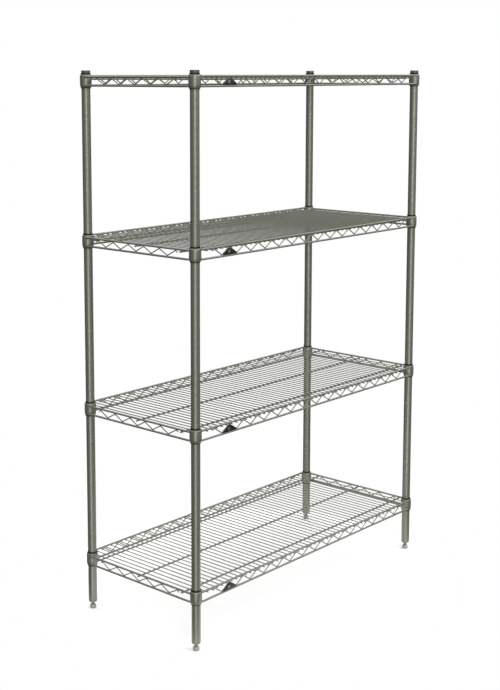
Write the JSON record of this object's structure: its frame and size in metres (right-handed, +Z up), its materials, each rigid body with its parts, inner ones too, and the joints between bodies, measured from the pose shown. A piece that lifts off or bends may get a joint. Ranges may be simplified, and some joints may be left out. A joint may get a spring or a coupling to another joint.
{
  "type": "wire shelving rack",
  "caption": "Free-standing wire shelving rack with one-inch tube posts, truss-edged wire shelves on tapered split sleeves, post caps and screw-in leveling feet.",
  "frame": {"origin": "on the floor, midway between the four posts", "axes": "+Z up along the posts, +X to the right along the long sides, -Y to the front, the long side that carries the badges"},
  "size_m": [1.0686, 0.458, 1.5939],
  "materials": {
    "satin_paint": "satin metallic grey-olive coating over steel",
    "black_plastic": "moulded black plastic, fine matt grain",
    "grey_plastic": "moulded dark grey plastic with a soft sheen",
    "zinc_steel": "bright zinc plate, lightly worn"
  },
  "bodies": {
    "frame": {"post_front_left": "satin_paint", "post_front_right": "satin_paint", "post_rear_left": "satin_paint", "post_rear_right": "satin_paint", "post_cap_front_left": "grey_plastic", "post_cap_front_right": "grey_plastic", "post_cap_rear_left": "grey_plastic", "post_cap_rear_right": "grey_plastic", "threaded_insert_front_left": "zinc_steel", "threaded_insert_front_right": "zinc_steel", "threaded_insert_rear_left": "zinc_steel", "threaded_insert_rear_right": "zinc_steel"},
    "foot_front_left": {"leveling_foot_front_left": "zinc_steel"},
    "foot_front_right": {"leveling_foot_front_right": "zinc_steel"},
    "foot_rear_left": {"leveling_foot_rear_left": "zinc_steel"},
    "foot_rear_right": {"leveling_foot_rear_right": "zinc_steel"},
    "shelf_1_sleeves": {"shelf_1_sleeve_front_left": "black_plastic", "shelf_1_sleeve_front_right": "black_plastic", "shelf_1_sleeve_rear_left": "black_plastic", "shelf_1_sleeve_rear_right": "black_plastic"},
    "shelf_1": {"shelf_1_deck": "satin_paint", "shelf_1_front_truss": "satin_paint", "shelf_1_rear_truss": "satin_paint", "shelf_1_left_end": "satin_paint", "shelf_1_right_end": "satin_paint", "shelf_1_badge": "black_plastic"},
    "shelf_2_sleeves": {"shelf_2_sleeve_front_left": "black_plastic", "shelf_2_sleeve_front_right": "black_plastic", "shelf_2_sleeve_rear_left": "black_plastic", "shelf_2_sleeve_rear_right": "black_plastic"},
    "shelf_2": {"shelf_2_deck": "satin_paint", "shelf_2_front_truss": "satin_paint", "shelf_2_rear_truss": "satin_paint", "shelf_2_left_end": "satin_paint", "shelf_2_right_end": "satin_paint", "shelf_2_badge": "black_plastic"},
    "shelf_3_sleeves": {"shelf_3_sleeve_front_left": "black_plastic", "shelf_3_sleeve_front_right": "black_plastic", "shelf_3_sleeve_rear_left": "black_plastic", "shelf_3_sleeve_rear_right": "black_plastic"},
    "shelf_3": {"shelf_3_deck": "satin_paint", "shelf_3_front_truss": "satin_paint", "shelf_3_rear_truss": "satin_paint", "shelf_3_left_end": "satin_paint", "shelf_3_right_end": "satin_paint", "shelf_3_badge": "black_plastic"},
    "shelf_4_sleeves": {"shelf_4_sleeve_front_left": "black_plastic", "shelf_4_sleeve_front_right": "black_plastic", "shelf_4_sleeve_rear_left": "black_plastic", "shelf_4_sleeve_rear_right": "black_plastic"},
    "shelf_4": {"shelf_4_deck": "satin_paint", "shelf_4_front_truss": "satin_paint", "shelf_4_rear_truss": "satin_paint", "shelf_4_left_end": "satin_paint", "shelf_4_right_end": "satin_paint", "shelf_4_badge": "black_plastic"}
  },
  "joints": [
    {"name": "foot_front_left_screw", "type": "slide", "parent": "frame", "child": "foot_front_left", "axis": [0, 0, 1], "range_m": [-0.025, 0.007]},
    {"name": "foot_front_right_screw", "type": "slide", "parent": "frame", "child": "foot_front_right", "axis": [0, 0, 1], "range_m": [-0.025, 0.007]},
    {"name": "foot_rear_left_screw", "type": "slide", "parent": "frame", "child": "foot_rear_left", "axis": [0, 0, 1], "range_m": [-0.025, 0.007]},
    {"name": "foot_rear_right_screw", "type": "slide", "parent": "frame", "child": "foot_rear_right", "axis": [0, 0, 1], "range_m": [-0.025, 0.007]},
    {"name": "shelf_1_height", "type": "slide", "parent": "frame", "child": "shelf_1_sleeves", "axis": [0, 0, 1], "range_m": [-0.4064, 0]},
    {"name": "shelf_1_lift", "type": "slide", "parent": "shelf_1_sleeves", "child": "shelf_1", "axis": [0, 0, 1], "range_m": [0, 0.0508]},
    {"name": "shelf_2_height", "type": "slide", "parent": "frame", "child": "shelf_2_sleeves", "axis": [0, 0, 1], "range_m": [-0.4318, 0.4064]},
    {"name": "shelf_2_lift", "type": "slide", "parent": "shelf_2_sleeves", "child": "shelf_2", "axis": [0, 0, 1], "range_m": [0, 0.0508]},
    {"name": "shelf_3_height", "type": "slide", "parent": "frame", "child": "shelf_3_sleeves", "axis": [0, 0, 1], "range_m": [-0.4064, 0.4318]},
    {"name": "shelf_3_lift", "type": "slide", "parent": "shelf_3_sleeves", "child": "shelf_3", "axis": [0, 0, 1], "range_m": [0, 0.0508]},
    {"name": "shelf_4_height", "type": "slide", "parent": "frame", "child": "shelf_4_sleeves", "axis": [0, 0, 1], "range_m": [-0.1016, 0.4064]},
    {"name": "shelf_4_lift", "type": "slide", "parent": "shelf_4_sleeves", "child": "shelf_4", "axis": [0, 0, 1], "range_m": [0, 0.0508]}
  ]
}
